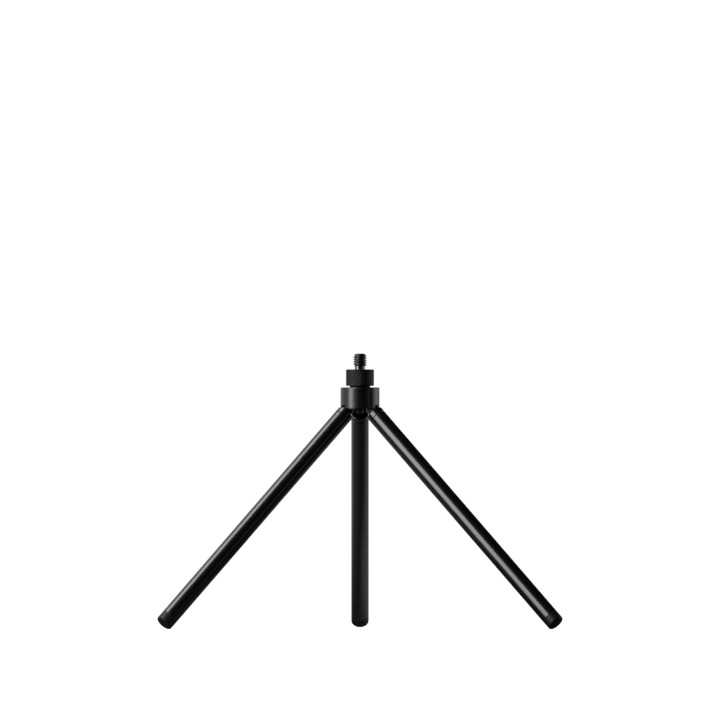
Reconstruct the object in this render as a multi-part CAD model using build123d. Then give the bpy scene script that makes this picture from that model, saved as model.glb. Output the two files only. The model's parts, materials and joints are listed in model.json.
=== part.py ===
from build123d import *
import math
import os

# A small three-legged field stand: a captive thumbscrew with a mounting stud on top of a
# turned hub, and three tube legs on hinge pins that spread to a stop and fold together.
# Millimetres. The origin is on the stand's axis, at the knob's top face, where a mounted
# device seats. +Z is up and +Y is the way the rear leg points.

# Thumbscrew
thread_diameter = 9.4
thread_length = 8.8
thread_tip_chamfer = 1.7
neck_diameter = 7.4
neck_length = 2.4
shaft_diameter = 8.0
shaft_end_chamfer = 0.4
knob_diameter = 19.9
knob_height = 11.65
knob_edge = 0.5
ring_groove_depth = 0.6
ring_wire_width = 1.6
ring_thickness = 1.0
ring_gap_angle = 50.0
shaft_tail = 1.5

# Washers that the thumbscrew turns on
thrust_washer_diameter = 14.5
thrust_washer_thickness = 1.0
lower_washer_diameter = 12.6
lower_washer_thickness = 1.0

# Hub
plate_thickness = 2.5
shell_wall = 1.5
shell_top_round = 0.7
shell_rim_break = 0.15
notch_height = 2.35
pocket_diameter = 14.0
pocket_spare_depth = 0.65
web_thickness = 1.3
pin_above_rim = 1.9
pin_to_hub_side = 4.48
pin_diameter = 2.0
pin_end_break = 0.2
core_proud = 0.5

# Legs
leg_diameter = 12.3
tube_wall = 1.5
tube_length = 199.2
spread_angle = 45.0
folded_gap = 0.35
tongue_thickness = 4.6
tongue_above_axis = 4.2
tongue_below_axis = 3.2
tongue_end = 4.0
tail_radius = 3.6
stop_step = 0.3
tongue_edge_chamfer = 0.6
pin_above_leg_axis = 1.97
shoulder_from_pin = 5.5
shoulder_edge = 0.25
collar_length = 4.0
collar_edge = 0.2
spigot_length = 14.0
spigot_chamfer = 0.6
bush_wall = 0.47
foot_length = 6.9
foot_edge_radius = 1.4
foot_seam_break = 0.2
foot_spigot_length = 12.0
leg_azimuths = (90.0, 210.0, 330.0)

# Clearances
running_gap = 0.05
shaft_bore_clearance = 0.05
pin_bush_clearance = 0.03
press_clearance = 0.01
glued_clearance = 0.05
slot_side_clearance = 0.1
slot_end_clearance = 0.25
stop_gap = 0.3

# Heights down the axis
knob_bottom = -knob_height
washer_top = knob_bottom - running_gap
hub_top = washer_top - thrust_washer_thickness
plate_bottom = hub_top - plate_thickness
lower_washer_bottom = plate_bottom - lower_washer_thickness
ring_top = lower_washer_bottom - running_gap
ring_bottom = ring_top - ring_thickness
shaft_end = ring_bottom - shaft_tail
pocket_bottom = shaft_end - pocket_spare_depth
slot_top = pocket_bottom - web_thickness

# Hinge place, in the plane of one leg. The folded legs stand side by side around the axis.
spread = math.radians(spread_angle)
folded_radius = (leg_diameter + folded_gap) / math.sqrt(3)
pin_radius_out = folded_radius + pin_above_leg_axis
tongue_top = tongue_above_axis - pin_above_leg_axis
tongue_bottom = -tongue_below_axis - pin_above_leg_axis
tongue_reach_up = math.hypot(tongue_end, tongue_top)
pin_height = slot_top - slot_end_clearance - tongue_reach_up
hub_bottom = pin_height - pin_above_rim
hub_radius = pin_radius_out + pin_to_hub_side
core_radius = hub_radius - shell_wall
slot_width = tongue_thickness + 2 * slot_side_clearance
slot_inner_radius = pin_radius_out + tongue_bottom - slot_end_clearance
stop_wall_radius = pin_radius_out - tail_radius - stop_gap
stop_wall_bottom = pin_height + stop_step

# Places down the leg, from the pin
collar_end = shoulder_from_pin + collar_length
tube_end = collar_end + tube_length
foot_end = tube_end + foot_length
tube_bore_radius = leg_diameter / 2 - tube_wall
spigot_radius = tube_bore_radius - glued_clearance
bush_bore_radius = pin_diameter / 2 + pin_bush_clearance
bush_radius = bush_bore_radius + bush_wall


def ring(outer_radius, inner_radius, bottom, top):
    """A flat ring about the stand's axis."""
    blank = Pos(0, 0, bottom) * Cylinder(outer_radius, top - bottom, align=(Align.CENTER, Align.CENTER, Align.MIN))
    hole = Pos(0, 0, bottom) * Cylinder(inner_radius, top - bottom, align=(Align.CENTER, Align.CENTER, Align.MIN))
    return blank - hole


def turned(points):
    """A turned piece from half its section, given as (radius, height) points."""
    section = Plane.XZ * make_face(Polyline(*points, close=True))
    return revolve(section, Axis.Z)


def thumb_stud():
    """The threaded stud with its relief neck and the long shaft that carries the ring groove."""
    thread = thread_diameter / 2
    neck = neck_diameter / 2
    shaft = shaft_diameter / 2
    groove = shaft - ring_groove_depth
    tip = neck_length + thread_length
    return turned([
        (0, tip),
        (thread - thread_tip_chamfer, tip),
        (thread, tip - thread_tip_chamfer),
        (thread, neck_length),
        (neck, neck_length),
        (neck, 0),
        (shaft, 0),
        (shaft, ring_top),
        (groove, ring_top),
        (groove, ring_bottom),
        (shaft, ring_bottom),
        (shaft, shaft_end + shaft_end_chamfer),
        (shaft - shaft_end_chamfer, shaft_end),
        (0, shaft_end),
    ])


def thumb_knob():
    """The knurled knob pressed on the shaft; its top face is the seat."""
    knob = ring(knob_diameter / 2, shaft_diameter / 2 + press_clearance, knob_bottom, 0)
    rims = knob.edges().filter_by(GeomType.CIRCLE).filter_by(lambda e: e.radius > knob_diameter / 2 - 0.01)
    return chamfer(rims, knob_edge)


def retaining_ring():
    """An open snap ring in the shaft's groove, under the lower washer."""
    inner = shaft_diameter / 2 - ring_groove_depth + press_clearance
    whole = ring(inner + ring_wire_width, inner, ring_bottom + press_clearance, ring_top - press_clearance)
    reach = inner + 2 * ring_wire_width
    half = math.radians(ring_gap_angle / 2)
    far = (reach * math.cos(half), reach * math.sin(half))
    near = (reach * math.cos(half), -reach * math.sin(half))
    wedge = make_face(Polyline((0, 0), near, far, close=True))
    gap = Pos(0, 0, ring_bottom - ring_thickness) * extrude(wedge, 3 * ring_thickness)
    return whole - gap


def hub_shell():
    """The turned cup that shows as the hub, with a notch in its rim for each tongue."""
    inner = core_radius
    bore = shaft_diameter / 2 + shaft_bore_clearance
    shell = turned([
        (bore, hub_top),
        (hub_radius, hub_top),
        (hub_radius, hub_bottom),
        (inner, hub_bottom),
        (inner, plate_bottom),
        (bore, plate_bottom),
    ])
    outer_rims = shell.edges().filter_by(GeomType.CIRCLE).filter_by(lambda e: e.radius > hub_radius - 0.01)
    shell = fillet(outer_rims.sort_by(Axis.Z)[-1], shell_top_round)
    lower_rims = shell.edges().filter_by(GeomType.CIRCLE).filter_by(lambda e: e.radius > hub_radius - 0.01)
    shell = chamfer(lower_rims.sort_by(Axis.Z)[0], shell_rim_break)
    for azimuth in leg_azimuths:
        notch = Box(2 * hub_radius, slot_width, 2 * notch_height, align=(Align.MIN, Align.CENTER, Align.CENTER))
        shell -= Pos(0, 0, hub_bottom) * Rot(0, 0, azimuth) * notch
    return shell


def hub_core():
    """The block pressed into the shell: a pocket over the snap ring, three slots and the pin holes."""
    top = plate_bottom
    bottom = hub_bottom - core_proud
    core = Pos(0, 0, bottom) * Cylinder(
        core_radius - press_clearance, top - bottom, align=(Align.CENTER, Align.CENTER, Align.MIN)
    )
    pocket_height = top - pocket_bottom
    core -= Pos(0, 0, pocket_bottom) * Cylinder(
        pocket_diameter / 2, 2 * pocket_height, align=(Align.CENTER, Align.CENTER, Align.MIN)
    )
    slot = Box(2 * hub_radius, slot_width, 2 * (slot_top - hub_bottom), align=(Align.MIN, Align.CENTER, Align.MAX))
    pin_hole = Rot(90, 0, 0) * Cylinder(pin_diameter / 2 + press_clearance, 4 * hub_radius)
    for azimuth in leg_azimuths:
        core -= Rot(0, 0, azimuth) * Pos(stop_wall_radius, 0, slot_top) * slot
        core -= Rot(0, 0, azimuth) * Pos(slot_inner_radius, 0, stop_wall_bottom) * slot
        core -= Rot(0, 0, azimuth) * Pos(pin_radius_out, 0, pin_height) * pin_hole
    return core


def pivot_pin(azimuth):
    """A plain dowel pressed across one slot, shorter than the core's chord so the shell covers it."""
    reach = core_radius - 2 * pin_end_break
    half_length = math.sqrt(reach**2 - (pin_radius_out + pin_diameter / 2) ** 2)
    pin = chamfer(Cylinder(pin_diameter / 2, 2 * half_length).edges().filter_by(GeomType.CIRCLE), pin_end_break)
    return Rot(0, 0, azimuth) * Pos(pin_radius_out, 0, pin_height) * Rot(90, 0, 0) * pin


def leg_plane(azimuth):
    """The leg's own plane: X runs down the leg from the pin, Y is the leg's upper side."""
    turn = math.radians(azimuth)
    outward = Vector(math.cos(turn), math.sin(turn), 0)
    sideways = Vector(-math.sin(turn), math.cos(turn), 0)
    down_leg = outward * math.sin(spread) - Vector(0, 0, 1) * math.cos(spread)
    return Plane(origin=outward * pin_radius_out + Vector(0, 0, pin_height), x_dir=down_leg, z_dir=-sideways)


def along_leg(radius, start, end):
    """A round bar on the leg's axis, in the leg's plane."""
    bar = Cylinder(radius, end - start, align=(Align.CENTER, Align.CENTER, Align.MIN))
    return Pos(start, -pin_above_leg_axis, 0) * Rot(0, 90, 0) * bar


def end_rims(piece, radius, position):
    """The circular edges of one radius at one place along the leg."""
    rims = piece.edges().filter_by(GeomType.CIRCLE).filter_by(lambda e: abs(e.radius - radius) < 0.01)
    return rims.filter_by(lambda e: abs(e.arc_center.X - position) < 0.01)


def hinge_end():
    """The turned end piece of a leg: a flat tongue with the pin's eye, a collar and a spigot.

    The tongue's tail is rounded to swing clear, and flat above the pin. The flat stands upright
    when the leg is spread, and meets the stop wall of the core's slot.
    """
    plate = Pos(-tongue_end, tongue_bottom, 0) * Box(
        tongue_end + shoulder_from_pin + collar_length / 2,
        tongue_top - tongue_bottom,
        tongue_thickness,
        align=(Align.MIN, Align.MIN, Align.CENTER),
    )
    swing = Cylinder(tail_radius, tongue_thickness)
    stop_flat = Rot(0, 0, 90 - spread_angle) * Pos(-tail_radius, 0, 0) * Box(
        tail_radius + tongue_end,
        2 * tongue_end,
        tongue_thickness,
        align=(Align.MIN, Align.MIN, Align.CENTER),
    )
    past_pin = Pos(0, tongue_bottom, 0) * Box(
        tongue_end + shoulder_from_pin + collar_length,
        tongue_top - tongue_bottom,
        tongue_thickness,
        align=(Align.MIN, Align.MIN, Align.CENTER),
    )
    tongue = plate & (swing + stop_flat + past_pin)
    flats = tongue.faces().filter_by(Axis.Z)
    tongue = chamfer(flats.edges(), tongue_edge_chamfer)
    collar = along_leg(leg_diameter / 2, shoulder_from_pin, collar_end)
    collar = chamfer(end_rims(collar, leg_diameter / 2, shoulder_from_pin), shoulder_edge)
    collar = chamfer(end_rims(collar, leg_diameter / 2, collar_end), collar_edge)
    spigot = along_leg(spigot_radius, collar_end - collar_length / 2, collar_end + spigot_length)
    spigot = chamfer(end_rims(spigot, spigot_radius, collar_end + spigot_length), spigot_chamfer)
    eye = Cylinder(bush_radius + press_clearance, 2 * tongue_thickness)
    return tongue + collar + spigot - eye


def pivot_bush():
    """A plain bush in the tongue's eye that runs on the pin."""
    return Cylinder(bush_radius, tongue_thickness) - Cylinder(bush_bore_radius, 2 * tongue_thickness)


def leg_tube():
    """A straight drawn tube."""
    tube = along_leg(leg_diameter / 2, collar_end, tube_end) - along_leg(tube_bore_radius, collar_end, tube_end)
    rims = end_rims(tube, leg_diameter / 2, collar_end) + end_rims(tube, leg_diameter / 2, tube_end)
    return chamfer(rims, collar_edge)


def foot_cap():
    """A moulded foot: a rounded pad with a spigot inside the tube."""
    pad = along_leg(leg_diameter / 2, tube_end, foot_end)
    pad = chamfer(end_rims(pad, leg_diameter / 2, tube_end), foot_seam_break)
    pad = fillet(end_rims(pad, leg_diameter / 2, foot_end), foot_edge_radius)
    return pad + along_leg(spigot_radius, tube_end - foot_spigot_length, tube_end + foot_length / 2)


def all_pieces():
    """Every piece by its node name."""
    shaft_hole = shaft_diameter / 2 + shaft_bore_clearance
    pieces = {
        "thumb_stud": thumb_stud(),
        "thumb_knob": thumb_knob(),
        "retaining_ring": retaining_ring(),
        "thrust_washer": ring(thrust_washer_diameter / 2, shaft_hole, hub_top, washer_top),
        "lower_washer": ring(lower_washer_diameter / 2, shaft_hole, lower_washer_bottom, plate_bottom),
        "hub_shell": hub_shell(),
        "hub_core": hub_core(),
    }
    for number, azimuth in enumerate(leg_azimuths, start=1):
        place = leg_plane(azimuth).location
        pieces[f"pivot_pin_{number}"] = pivot_pin(azimuth)
        pieces[f"pivot_bush_{number}"] = place * pivot_bush()
        pieces[f"hinge_end_{number}"] = place * hinge_end()
        pieces[f"leg_tube_{number}"] = place * leg_tube()
        pieces[f"foot_cap_{number}"] = place * foot_cap()
    return pieces


os.makedirs("parts", exist_ok=True)
for name, piece in all_pieces().items():
    piece.label = name
    export_step(piece, f"parts/{name}.step")

print(f"pin at radius {pin_radius_out:.4f}, height {pin_height:.4f}")
print(f"hub radius {hub_radius:.3f}, top {hub_top:.3f}, bottom {hub_bottom:.3f}")
print(f"collar end {collar_end:.3f} and foot end {foot_end:.3f} from the pin along the leg")
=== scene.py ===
import json
import math
import bpy
from mathutils import Matrix, Vector


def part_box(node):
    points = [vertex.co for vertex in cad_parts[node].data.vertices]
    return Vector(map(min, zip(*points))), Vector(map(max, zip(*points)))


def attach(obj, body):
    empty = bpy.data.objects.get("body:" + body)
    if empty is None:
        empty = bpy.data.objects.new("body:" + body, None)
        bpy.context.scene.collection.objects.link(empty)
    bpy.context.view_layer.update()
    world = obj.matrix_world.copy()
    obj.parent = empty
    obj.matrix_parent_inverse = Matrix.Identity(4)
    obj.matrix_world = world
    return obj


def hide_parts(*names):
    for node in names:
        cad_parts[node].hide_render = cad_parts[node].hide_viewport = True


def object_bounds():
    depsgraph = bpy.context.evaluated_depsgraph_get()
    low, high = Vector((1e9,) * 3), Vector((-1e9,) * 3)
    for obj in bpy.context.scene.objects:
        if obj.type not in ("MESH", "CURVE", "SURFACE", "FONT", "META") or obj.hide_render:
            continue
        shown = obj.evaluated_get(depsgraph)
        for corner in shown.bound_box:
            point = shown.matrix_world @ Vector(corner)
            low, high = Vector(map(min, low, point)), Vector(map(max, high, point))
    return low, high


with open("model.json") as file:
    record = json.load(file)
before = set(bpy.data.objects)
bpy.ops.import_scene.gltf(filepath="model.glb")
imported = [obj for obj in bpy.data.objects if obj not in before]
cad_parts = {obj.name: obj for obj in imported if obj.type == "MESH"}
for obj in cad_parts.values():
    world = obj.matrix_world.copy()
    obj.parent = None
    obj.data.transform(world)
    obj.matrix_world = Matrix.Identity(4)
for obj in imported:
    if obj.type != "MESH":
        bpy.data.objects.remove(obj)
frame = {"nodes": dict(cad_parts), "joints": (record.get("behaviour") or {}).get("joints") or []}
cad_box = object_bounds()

nodes = frame["nodes"]
mm = 0.001


# ---------------------------------------------------------------- Studio
# The stand is looked at from the front and almost level, through a lens that keeps parallel
# lines parallel. A tall softbox stands to the front left, the room behind is pale and the
# room in front is dark, which gives black metal its bright edges and dark middles.

class Wire:
    """An output socket of a node tree. Arithmetic on wires and numbers adds Math nodes."""

    def __init__(self, tree, socket):
        self.tree = tree
        self.socket = socket

    def math(self, operation, *values):
        inputs = dict(enumerate(values))
        return add_node(self.tree, "ShaderNodeMath", {"operation": operation}, inputs)

    def __add__(self, other):
        return self.math("ADD", self, other)

    def __sub__(self, other):
        return self.math("SUBTRACT", self, other)

    def __rsub__(self, other):
        return self.math("SUBTRACT", other, self)

    def __mul__(self, other):
        return self.math("MULTIPLY", self, other)

    __radd__ = __add__
    __rmul__ = __mul__

    def part(self, axis):
        """One coordinate of a vector."""
        return add_node(self.tree, "ShaderNodeSeparateXYZ", None, {"Vector": self}, axis)

    def clamped(self, low, high):
        """0 below low, 1 above high, and a smooth step between."""
        settings = {"interpolation_type": "SMOOTHSTEP"}
        inputs = {"Value": self, "From Min": low, "From Max": high}
        return add_node(self.tree, "ShaderNodeMapRange", settings, inputs)


def add_node(tree, kind, settings=None, inputs=None, output=0):
    """Any node: its type, its settings, then the values or wires of its sockets."""
    node = tree.nodes.new(kind)
    for name, value in (settings or {}).items():
        setattr(node, name, value)
    for name, value in (inputs or {}).items():
        if isinstance(value, Wire):
            tree.links.new(value.socket, node.inputs[name])
        else:
            node.inputs[name].default_value = value
    return Wire(tree, node.outputs[output]) if node.outputs else None


def new_material(name):
    """An empty material and its node tree."""
    material = bpy.data.materials.new(name)
    material.use_nodes = True
    material.node_tree.nodes.clear()
    return material, material.node_tree


def show(tree, shader):
    """Connects a shader to the tree's output."""
    is_world = tree is bpy.context.scene.world.node_tree
    kind = "ShaderNodeOutputWorld" if is_world else "ShaderNodeOutputMaterial"
    add_node(tree, kind, inputs={"Surface": shader})


def softbox(name, toward, distance, size, radiance, along=(0, 0, 1)):
    """A rectangular area light that faces the hub, with its long side laid along a direction."""
    light = bpy.data.lights.new(name, "AREA")
    light.shape = "RECTANGLE"
    light.size, light.size_y = size
    light.energy = radiance * math.pi * size[0] * size[1]
    lamp = bpy.data.objects.new(name, light)
    away = Vector(toward).normalized()
    wide = Vector(along).cross(away).normalized()
    lamp.matrix_world = Matrix((wide, away.cross(wide), away)).transposed().to_4x4()
    lamp.location = hub_middle + away * distance
    bpy.context.scene.collection.objects.link(lamp)


hub_middle = Vector((0.0, 0.0, -20 * mm))
view_width = 508.3 * mm
view_centre_height = 6.65 * mm
view_elevation = math.radians(0.35)
view_distance = 3.0

lens = bpy.data.cameras.new("camera")
lens.type = "ORTHO"
lens.ortho_scale = view_width
lens.clip_end = 20.0
camera = bpy.data.objects.new("camera", lens)
camera.location = (
    0.0,
    -view_distance * math.cos(view_elevation),
    view_centre_height + view_distance * math.sin(view_elevation),
)
camera.rotation_euler = (math.pi / 2 - view_elevation, 0.0, 0.0)
bpy.context.scene.collection.objects.link(camera)
bpy.context.scene.camera = camera
bpy.context.scene.view_settings.view_transform = "Standard"

softbox("key_softbox", (-0.71, -0.66, 0.25), 1.8, (0.74, 1.6), 3.1, (0.26, -0.24, 0.32))
softbox("top_softbox", (-0.57, -0.12, 0.82), 1.1, (0.55, 0.60), 3.2)
softbox("glint_strip", (0.80, -0.60, 0.02), 1.1, (0.22, 0.12), 0.32)

world = bpy.data.worlds.new("studio")
bpy.context.scene.world = world
world.use_nodes = True
world.node_tree.nodes.clear()
room = world.node_tree
direction = add_node(room, "ShaderNodeTexCoord", output="Generated")


def panel(toward, edge, middle, brightness):
    """A soft pale panel of the room: its direction, the cosines where it starts and is full."""
    nearness = add_node(
        room, "ShaderNodeVectorMath", {"operation": "DOT_PRODUCT"},
        {0: direction, 1: Vector(toward).normalized()}, "Value",
    )
    return nearness.clamped(edge, middle) * brightness


dark_room = 0.012
backdrop = 1.05
white = (1, 1, 1, 1)
level = dark_room + panel((0.90, 0.44, 0.0), 0.80, 0.97, 0.95)
level = level + panel((-0.62, 0.78, 0.0), 0.80, 0.97, 0.55)
level = level + panel((-0.55, 0.50, 0.67), 0.70, 0.95, 0.55)
level = level + panel((-0.98, -0.10, -0.10), 0.84, 0.98, 0.42)
seen = add_node(room, "ShaderNodeLightPath", output="Is Camera Ray")
level = level.math("MAXIMUM", level, seen * backdrop)
show(room, add_node(room, "ShaderNodeBackground", inputs={"Color": white, "Strength": level}))

floor_reach = 4.0
floor_level = cad_box[0].z
floor_mesh = bpy.data.meshes.new("floor")
corners = [(-1, -1), (1, -1), (1, 1), (-1, 1)]
corners = [(x * floor_reach, y * floor_reach, floor_level) for x, y in corners]
floor_mesh.from_pydata(corners, [], [(0, 1, 2, 3)])
floor = bpy.data.objects.new("floor", floor_mesh)
bpy.context.scene.collection.objects.link(floor)

# To the lens the paper is evenly lit. To the metal it is a painted glow: dim in front of the stand
# and brighter behind it and off to each side, which the legs show as painted reflections.
paper, tree = new_material("pale_paper")
sheen = add_node(tree, "ShaderNodeBsdfDiffuse", inputs={"Color": (0.82, 0.82, 0.82, 1)})
glow = add_node(tree, "ShaderNodeEmission", inputs={"Color": white, "Strength": 0.93})
lit = add_node(tree, "ShaderNodeAddShader", inputs={0: sheen, 1: glow})
spot = add_node(tree, "ShaderNodeTexCoord", output="Object")
right_of = spot.part("X")
behind = spot.part("Y")
# Painted glow for reflected rays: dim in front, brighter behind the stand and to its left and
# right.
near_glow = 0.030 + right_of.clamped(0.01, -0.07) * 0.06
left_glow = right_of.clamped(-0.05, -0.22) * behind.clamped(0.0, 0.4) * 0.30
right_glow = right_of.clamped(-0.01, 0.03) * behind.clamped(0.07, 0.13) * 0.20
painted_floor_glow = 0.008 + behind.clamped(-0.16, 0.02) * (near_glow + left_glow + right_glow)
painted_glow = add_node(tree, "ShaderNodeEmission", inputs={"Color": white, "Strength": painted_floor_glow})
direct = add_node(tree, "ShaderNodeLightPath", output="Is Camera Ray")
show(tree, add_node(tree, "ShaderNodeMixShader", inputs={0: direct, 1: painted_glow, 2: lit}))
floor_mesh.materials.append(paper)


# ---------------------------------------------------------------- Thumb stud
# The mounting stud is a steel screw with a coarse right-hand thread, turned down to a polished
# relief neck where it meets the knob. Its shaft runs down through the hub. Black oxide finish.

def rounded_profile(points, steps):
    """A section's corner points (radius, height, corner radius) with each corner rounded."""
    out = []
    for i, (r, z, corner) in enumerate(points):
        here = Vector((r, z))
        if corner == 0 or i in (0, len(points) - 1):
            out.append(here)
            continue
        before = (Vector(points[i - 1][:2]) - here).normalized()
        after = (Vector(points[i + 1][:2]) - here).normalized()
        half = before.angle(after) / 2
        cut = corner / math.tan(half)
        centre = here + (before + after).normalized() * corner / math.sin(half)
        start = here + before * cut - centre
        turn = (math.pi - 2 * half) * (1 if start.cross(here + after * cut - centre) > 0 else -1)
        out += [centre + Matrix.Rotation(turn * k / steps, 2) @ start for k in range(steps + 1)]
    return out


def mark_places(mesh, frame_inverse):
    """Keeps each point's place in the piece's own frame, for finishes that follow its making."""
    places = mesh.attributes.new("own_place", "FLOAT_VECTOR", "POINT")
    for vertex, place in zip(mesh.vertices, places.data):
        place.vector = frame_inverse @ vertex.co


def build(
    name, vertices, faces, material, slot, body, stands_for,
    placing=Matrix.Identity(4), sharp=30.0,
):
    """Makes a smooth-shaded piece, gives it a material, ties it to its body and hides the CAD
    nodes it stands for.
    """
    mesh = bpy.data.meshes.new(name)
    mesh.from_pydata([tuple(placing @ Vector(v)) for v in vertices], [], faces)
    mesh.validate()
    mark_places(mesh, placing.inverted())
    mesh.shade_smooth()
    mesh.set_sharp_from_angle(angle=math.radians(sharp))
    mesh.materials.append(material)
    piece = bpy.data.objects.new(name, mesh)
    bpy.context.scene.collection.objects.link(piece)
    bpy.context.view_layer.update()
    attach(piece, body)
    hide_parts(*stands_for)
    return piece


def swept_rings(rings):
    """Vertices and faces of a closed skin through rings of equal size, capped at both ends."""
    count = len(rings[0])
    vertices = [v for ring in rings for v in ring]
    faces = []
    for i in range(len(rings) - 1):
        for j in range(count):
            k = (j + 1) % count
            faces.append((i * count + j, i * count + k, (i + 1) * count + k, (i + 1) * count + j))
    faces.append(tuple(reversed(range(count))))
    faces.append(tuple(range((len(rings) - 1) * count, len(rings) * count)))
    return vertices, faces


def ring_point(radius, angle, height):
    """A point at a radius, an angle and a height about the Z axis."""
    return Vector((radius * math.cos(angle), radius * math.sin(angle), height))


def circle(radius, height, count):
    """One ring of points about the Z axis."""
    turn = 2 * math.pi / count
    return [ring_point(radius, j * turn, height) for j in range(count)]


def attribute(tree, name, output):
    """A value that the mesh carries."""
    return add_node(tree, "ShaderNodeAttribute", {"attribute_name": name}, output=output)


def noise(tree, place, scale, detail):
    """Soft random cloudiness, 0 to 1."""
    inputs = {"Vector": place, "Scale": scale, "Detail": detail}
    return add_node(tree, "ShaderNodeTexNoise", None, inputs)


def mixed(tree, share, first, second):
    """The first colour where the share is 0, the second where it is 1."""
    inputs = {"Factor": share, 6: first, 7: second}
    return add_node(tree, "ShaderNodeMix", {"data_type": "RGBA"}, inputs, output=2)


def satin_coat(tree, colour, metallic, roughness, grain, direction, depth, mottle=0.06):
    """The sockets of a satin finish: fine machining lines along one axis, with faint mottling."""
    line_roughness = 0.06
    shade_spread = 0.14
    line_relief, blast_relief = 0.7, 0.3
    relief_strength = 0.06
    place = attribute(tree, "own_place", "Vector")
    settings = {"operation": "MULTIPLY"}
    stretched = add_node(tree, "ShaderNodeVectorMath", settings, {0: place, 1: direction})
    lines = noise(tree, stretched, grain, 3.0)
    cloud = noise(tree, place, 160.0, 5.0)
    blast = noise(tree, place, 3200.0, 1.0)
    rough = roughness + (lines - 0.5) * line_roughness + (cloud - 0.5) * mottle
    dark = tuple(c * (1 - shade_spread) for c in colour) + (1,)
    bright = tuple(min(1.0, c * (1 + shade_spread)) for c in colour) + (1,)
    tint = mixed(tree, cloud, dark, bright)
    relief = lines * line_relief + blast * blast_relief
    inputs = {"Height": relief, "Strength": relief_strength, "Distance": depth}
    bump = add_node(tree, "ShaderNodeBump", None, inputs)
    return {"Base Color": tint, "Metallic": metallic, "Roughness": rough, "Normal": bump}


def satin(name, *finish):
    """A material that is one satin finish all over."""
    material, tree = new_material(name)
    show(tree, add_node(tree, "ShaderNodeBsdfPrincipled", None, satin_coat(tree, *finish)))
    return material


stud_low, stud_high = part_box("thumb_stud")
thread_radius = (stud_high.x - stud_low.x) / 2
thread_pitch = 25.4 * mm / 16
neck_radius = 3.7 * mm
neck_length = 2.4 * mm
neck_step = 0.02 * mm
shaft_radius = 4.0 * mm
tip_chamfer = 1.7 * mm
tip_round = 0.35 * mm
thread_depth = 0.68 * thread_pitch
runout_slope = 2.2

# A ring of points this close to each end of a straight wall keeps the wall's shading straight.
wall_end = 0.05 * mm


def thread_form(phase):
    """The thread's radius below its crest, 0 to 1, for a sixty-degree form with flats."""
    from_crest = abs((phase + 0.5) % 1.0 - 0.5)
    crest_flat, root_flat = 0.20, 0.06
    return min(1.0, max(0.0, (from_crest - crest_flat) / (0.5 - crest_flat - root_flat)))


def stud_radius(height, turn):
    """The stud's outside at a height above the seat and a share of a turn."""
    radius = thread_radius - thread_depth * thread_form(height / thread_pitch - turn)
    from_tip = stud_high.z - height
    cone = thread_radius - tip_chamfer + from_tip
    if from_tip < tip_round:
        cone -= tip_round - math.sqrt(tip_round**2 - (tip_round - from_tip) ** 2)
    runout = neck_radius + (height - neck_length) * runout_slope
    return min(radius, cone, max(neck_radius, runout))


def make_stud():
    """Rings up the stud, close together where the thread is."""
    columns = 144
    rows = 200
    rings = [circle(shaft_radius, stud_low.z, columns)]
    rings.append(circle(shaft_radius, -neck_step, columns))
    rings.append(circle(neck_radius, 0.0, columns))
    rings.append(circle(neck_radius, neck_length - wall_end, columns))
    rings.append(circle(neck_radius, neck_length, columns))
    for i in range(1, rows + 1):
        height = neck_length + (stud_high.z - neck_length) * i / rows
        ring = []
        for j in range(columns):
            radius = stud_radius(height, j / columns)
            ring.append(ring_point(radius, 2 * math.pi * j / columns, height))
        rings.append(ring)
    return swept_rings(rings)


neck_steel = (0.28, 0.28, 0.29, 1)
neck_gloss = 0.55
neck_fade = 0.1 * mm
black_oxide, tree = new_material("black_oxide")
coat = satin_coat(tree, (0.15, 0.15, 0.155), 1.0, 0.34, 900.0, (1, 1, 6), 0.02 * mm)
height = attribute(tree, "own_place", "Vector").part("Z")
polished = height.clamped(-neck_fade, 0.0) * height.clamped(neck_length + neck_fade, neck_length)
coat["Base Color"] = mixed(tree, polished, coat["Base Color"], neck_steel)
coat["Roughness"] = coat["Roughness"] * (1 - polished * neck_gloss)
show(tree, add_node(tree, "ShaderNodeBsdfPrincipled", None, coat))
build(
    "threaded_stud", *make_stud(), black_oxide, "black_oxide_steel",
    "thumbscrew", ["thumb_stud"], sharp=75.0,
)


def refinish(node_name, material, own_frame=Matrix.Identity(4)):
    """Gives a carried-over piece its own material."""
    mesh = nodes[node_name].data
    mesh.materials.clear()
    mesh.materials.append(material)
    mark_places(mesh, own_frame.inverted() @ nodes[node_name].matrix_world)


refinish("retaining_ring", black_oxide)


# ---------------------------------------------------------------- Thumb knob
# The knob is a short aluminium drum pressed on the stud. Its side is rolled with a fine
# diamond knurl between two smooth turned edges, and it is anodised matt black.

knob_low, knob_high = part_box("thumb_knob")
knob_radius = (knob_high.x - knob_low.x) / 2
knob_bore = 4.05 * mm
knob_edge = 0.5 * mm
edge_ease = 0.1 * mm
knurl_pitch = 0.78 * mm
knurl_rise = 1.25 * knurl_pitch
knurl_depth = 0.16 * mm
knurl_margin = 0.25 * mm


def knurl_height(across, along):
    """Pyramids of a diamond knurl, 0 in the grooves to 1 at the tips."""
    first = abs((across + along) % 1.0 - 0.5) * 2
    second = abs((across - along) % 1.0 - 0.5) * 2
    return 1 - max(first, second)


def closed_ring(rings):
    """A skin through rings of equal size whose last ring joins its first."""
    vertices, faces = swept_rings(rings)
    del faces[-2:]
    count = len(rings[0])
    last = (len(rings) - 1) * count
    faces += [(last + j, last + (j + 1) % count, (j + 1) % count, j) for j in range(count)]
    return vertices, faces


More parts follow.
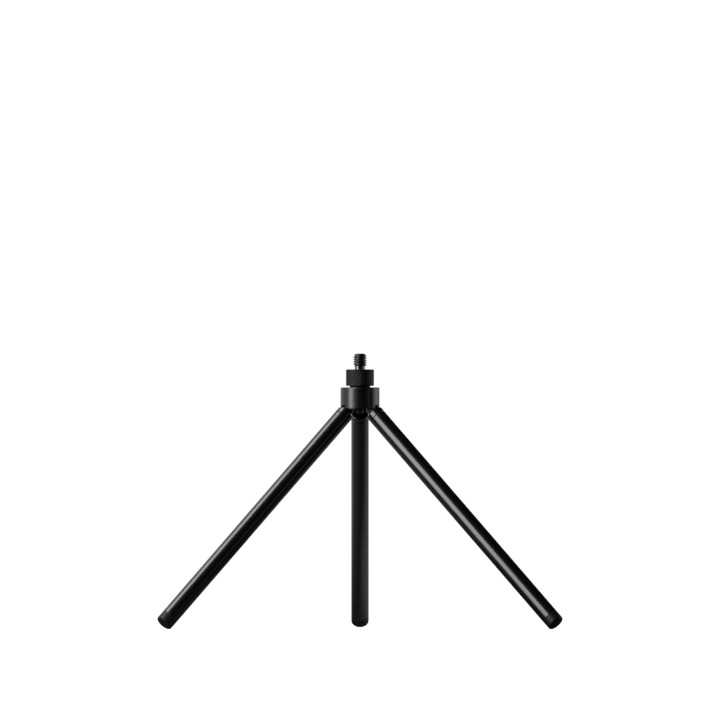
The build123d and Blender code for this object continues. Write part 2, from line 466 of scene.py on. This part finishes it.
def make_knob():
    """The drum's skin: underside, chamfer, knurled wall, chamfer and seat."""
    teeth = round(2 * math.pi * knob_radius / knurl_pitch)
    columns = teeth * 8
    rows = 110
    bottom, top = knob_low.z, knob_high.z
    wall_low, wall_high = bottom + knob_edge, top - knob_edge
    face_radius = knob_radius - knob_edge
    chamfer = [
        (face_radius - edge_ease, 0.0),
        (face_radius + 0.5 * edge_ease, 0.4 * edge_ease),
        (knob_radius - 0.4 * edge_ease, knob_edge - 0.8 * edge_ease),
    ]
    rings = [circle(knob_bore, bottom, columns)]
    rings += [circle(radius, bottom + inward, columns) for radius, inward in chamfer]
    for i in range(rows + 1):
        height = wall_low + (wall_high - wall_low) * i / rows
        edge = min(height - wall_low, wall_high - height)
        depth = knurl_depth * min(1.0, edge / knurl_margin)
        ring = []
        for j in range(columns):
            tooth = knurl_height(teeth * j / columns, (height - wall_low) / knurl_rise)
            radius = knob_radius - depth * (1 - tooth)
            ring.append(ring_point(radius, 2 * math.pi * j / columns, height))
        rings.append(ring)
    rings += [circle(radius, top - inward, columns) for radius, inward in reversed(chamfer)]
    rings.append(circle(knob_bore, top, columns))
    return closed_ring(rings)


knurled_black = satin(
    "knurled_black", (0.062, 0.062, 0.064), 1.0, 0.42, 1500.0, (1, 1, 1), 0.02 * mm, 0.12
)
build(
    "knurled_knob", *make_knob(), knurled_black, "black_knurled_aluminium",
    "thumbscrew", ["thumb_knob"], sharp=60.0,
)


# ---------------------------------------------------------------- Thrust washers
# A black acetal washer spaces the knob off the hub and shows as a dark ring in the gap. A second
# one sits under the hub's top plate, held up by the snap ring on the shaft.

def lathe(points, count, steps):
    """A closed ring turned from a section whose last corner joins its first."""
    profile = rounded_profile(points, steps)
    return closed_ring([circle(p.x, p.y, count) for p in profile])


black_acetal = satin("black_acetal", (0.012, 0.012, 0.012), 0.0, 0.55, 700.0, (1, 1, 4), 0.02 * mm)
washer_low, washer_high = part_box("thrust_washer")
washer_radius = (washer_high.x - washer_low.x) / 2
washer_play = 0.05 * mm
washer_bore = shaft_radius + washer_play
washer_edge = 0.12 * mm
skin = lathe([
    (washer_bore, washer_low.z, 0),
    (washer_radius, washer_low.z, washer_edge),
    (washer_radius, washer_high.z, washer_edge),
    (washer_bore, washer_high.z, 0),
], 128, 4)
build("spacing_washer", *skin, black_acetal, "black_polymer", "hub", ["thrust_washer"])
refinish("lower_washer", black_acetal)


# ---------------------------------------------------------------- Hub shell
# The hub is a turned aluminium cup. Its top edge is rounded, its rim has a notch for each leg's
# tongue, and fine turning lines run round it under satin black anodising.

shell_low, shell_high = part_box("hub_shell")
core_low, core_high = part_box("hub_core")
shell_radius = (shell_high.x - shell_low.x) / 2
press_gap = 0.01 * mm
cup_radius = (core_high.x - core_low.x) / 2 + press_gap
plate_underside = core_high.z
shell_round = 0.7 * mm
rim_break = 0.15 * mm
notch_width = 4.8 * mm
notch_height = 2.35 * mm

turned_black = satin(
    "turned_black", (0.135, 0.135, 0.139), 1.0, 0.29, 1400.0, (0.2, 0.2, 8), 0.02 * mm
)
skin = lathe([
    (washer_bore, plate_underside, 0),
    (washer_bore, shell_high.z, 0),
    (shell_radius, shell_high.z, shell_round),
    (shell_radius, shell_high.z - shell_round - wall_end, 0),
    (shell_radius, shell_low.z + rim_break + wall_end, 0),
    (shell_radius, shell_low.z, rim_break),
    (cup_radius, shell_low.z, rim_break),
    (cup_radius, plate_underside, 0),
], 256, 8)
shell = build("turned_hub", *skin, turned_black, "black_turned_aluminium", "hub", ["hub_shell"])

leg_joints = [joint for joint in frame["joints"] if joint["name"].startswith("leg_")]
up = Vector((0, 0, 1))


def outward_from(joint):
    """The level direction from the stand's axis to a leg's pin."""
    return Vector((joint["pos_m"][0], joint["pos_m"][1], 0)).normalized()


def notch_cutter(outward):
    """A box through the cup's wall and rim on one side."""
    sideways = up.cross(outward)
    corners = []
    for away in (0.5 * shell_radius, 1.2 * shell_radius):
        for side in (-notch_width / 2, notch_width / 2):
            for height in (shell_low.z - notch_height, shell_low.z + notch_height):
                corners.append(tuple(outward * away + sideways * side + up * height))
    sides = [(0, 1, 3, 2), (4, 6, 7, 5), (0, 4, 5, 1), (2, 3, 7, 6), (0, 2, 6, 4), (1, 5, 7, 3)]
    mesh = bpy.data.meshes.new("notch_cutter")
    mesh.from_pydata(corners, [], sides)
    cutter = bpy.data.objects.new("notch_cutter", mesh)
    bpy.context.scene.collection.objects.link(cutter)
    return cutter


for joint in leg_joints:
    cutter = notch_cutter(outward_from(joint))
    cut = shell.modifiers.new("notch", "BOOLEAN")
    cut.operation = "DIFFERENCE"
    cut.solver = "EXACT"
    cut.object = cutter
    bpy.context.view_layer.update()
    finished = shell.evaluated_get(bpy.context.evaluated_depsgraph_get())
    notched = bpy.data.meshes.new_from_object(finished)
    shell.modifiers.remove(cut)
    shell.data = notched
    bpy.data.objects.remove(cutter)
shell.data.shade_smooth()
shell.data.set_sharp_from_angle(angle=math.radians(35))


# ---------------------------------------------------------------- Hub core, pins and bushes
# The core is a milled block pressed up into the cup. Three slots take the legs' tongues, and a
# ground steel dowel runs across each slot through a bronze bush in the tongue's eye.

milled_black = satin("milled_black", (0.06, 0.06, 0.062), 1.0, 0.42, 500.0, (3, 3, 1), 0.03 * mm)
ground_steel = satin("ground_steel", (0.55, 0.55, 0.56), 1.0, 0.22, 1200.0, (1, 1, 1), 0.01 * mm)
oiled_bronze = satin("oiled_bronze", (0.45, 0.29, 0.14), 1.0, 0.38, 900.0, (1, 1, 1), 0.02 * mm)

refinish("hub_core", milled_black)
for number in (1, 2, 3):
    refinish(f"pivot_pin_{number}", ground_steel)
    refinish(f"pivot_bush_{number}", oiled_bronze)


# ---------------------------------------------------------------- Legs
# Each leg is a drawn aluminium tube with satin black anodising, closed at the top by a turned
# end whose flat tongue swings in the core's slot, and at the bottom by a moulded rubber foot.

tube_low, tube_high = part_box("leg_tube_1")
tube_radius = (tube_high.x - tube_low.x) / 2
tube_wall = 1.5 * mm
tube_bore = tube_radius - tube_wall
collar_edge = 0.2 * mm
collar_length = 4.0 * mm
shoulder_margin = 0.02 * mm
foot_length = 6.9 * mm
foot_round = 1.4 * mm
foot_seam = 0.2 * mm
foot_spigot = 12.0 * mm
spigot_round = 0.4 * mm
spigot_radius = tube_bore - 0.05 * mm
pole_radius = 0.02 * mm

tube_black = satin(
    "drawn_black", (0.13, 0.13, 0.134), 1.0, 0.27, 900.0, (6, 6, 0.15), 0.02 * mm
)
foot_black = satin(
    "foot_rubber", (0.014, 0.014, 0.015), 0.0, 0.42, 400.0, (1, 1, 1), 0.05 * mm, 0.10
)

# The tongue's bevels get a lighter colour as a painted highlight, and its milled sides a
# near-black colour as painted shade.
painted_bevel_highlight = (0.24, 0.24, 0.25, 1)
painted_side_shade = (0.012, 0.012, 0.013, 1)
end_black, tree = new_material("end_black")
coat = satin_coat(tree, (0.13, 0.13, 0.134), 1.0, 0.25, 1200.0, (1, 1, 1), 0.02 * mm)
tint = mixed(tree, attribute(tree, "painted_highlight_face", "Fac"), coat["Base Color"], painted_bevel_highlight)
coat["Base Color"] = mixed(tree, attribute(tree, "painted_shade_face", "Fac"), tint, painted_side_shade)
show(tree, add_node(tree, "ShaderNodeBsdfPrincipled", None, coat))


def mark_painted_faces(mesh, own_frame, shoulder):
    """Marks a tongue's bevels for a painted highlight and its milled sides for painted shade."""
    highlighted_bevels = mesh.attributes.new("painted_highlight_face", "FLOAT", "FACE")
    sides = mesh.attributes.new("painted_shade_face", "FLOAT", "FACE")
    back = own_frame.inverted()
    turn_back = back.to_3x3()
    for polygon, highlighted, shaded in zip(mesh.polygons, highlighted_bevels.data, sides.data):
        _, sideways, along = (abs(part) for part in turn_back @ polygon.normal)
        on_tongue = (back @ polygon.center).z < shoulder
        highlighted.value = float(on_tongue and 0.6 < sideways < 0.8)
        shaded.value = float(on_tongue and max(sideways, along) > 0.95)


def make_tube(half):
    """The drawn tube about its own axis, half its length to each side."""
    return lathe([
        (tube_bore, -half, 0),
        (tube_radius, -half, collar_edge),
        (tube_radius, -half + collar_edge + wall_end, 0),
        (tube_radius, half - collar_edge - wall_end, 0),
        (tube_radius, half, collar_edge),
        (tube_bore, half, 0),
    ], 128, 4)


def make_foot(half):
    """The moulded foot on the tube's lower end, with its spigot up the bore."""
    end = half + foot_length
    profile = rounded_profile([
        (0.0, half - foot_spigot, 0),
        (spigot_radius, half - foot_spigot, spigot_round),
        (spigot_radius, half, 0),
        (tube_radius, half, foot_seam),
        (tube_radius, half + foot_seam + wall_end, 0),
        (tube_radius, end - foot_round - wall_end, 0),
        (tube_radius, end, foot_round),
        (0.0, end, 0),
    ], 8)
    return swept_rings([circle(max(p.x, pole_radius), p.y, 128) for p in profile])


for number, joint in enumerate(leg_joints, start=1):
    tube_low, tube_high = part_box(f"leg_tube_{number}")
    outward = outward_from(joint)
    spread = math.radians(joint["range_deg"][1])
    down = (outward * math.sin(spread) - up * math.cos(spread)).normalized()
    across = down.cross(up.cross(outward)).normalized()
    leg_frame = Matrix((across, down.cross(across), down)).transposed().to_4x4()
    leg_frame.translation = (Vector(tube_low) + Vector(tube_high)) / 2
    tube_height = tube_high.z - tube_low.z - 2 * tube_radius * math.sin(spread)
    half = tube_height / math.cos(spread) / 2
    build(
        f"drawn_tube_{number}", *make_tube(half), tube_black, "black_tube_aluminium",
        f"leg_{number}", [f"leg_tube_{number}"], leg_frame,
    )
    build(
        f"rubber_foot_{number}", *make_foot(half), foot_black, "black_foot_rubber",
        f"leg_{number}", [f"foot_cap_{number}"], leg_frame, 40.0,
    )
    refinish(f"hinge_end_{number}", end_black, leg_frame)
    shoulder = shoulder_margin - half - collar_length
    mark_painted_faces(nodes[f"hinge_end_{number}"].data, leg_frame, shoulder)
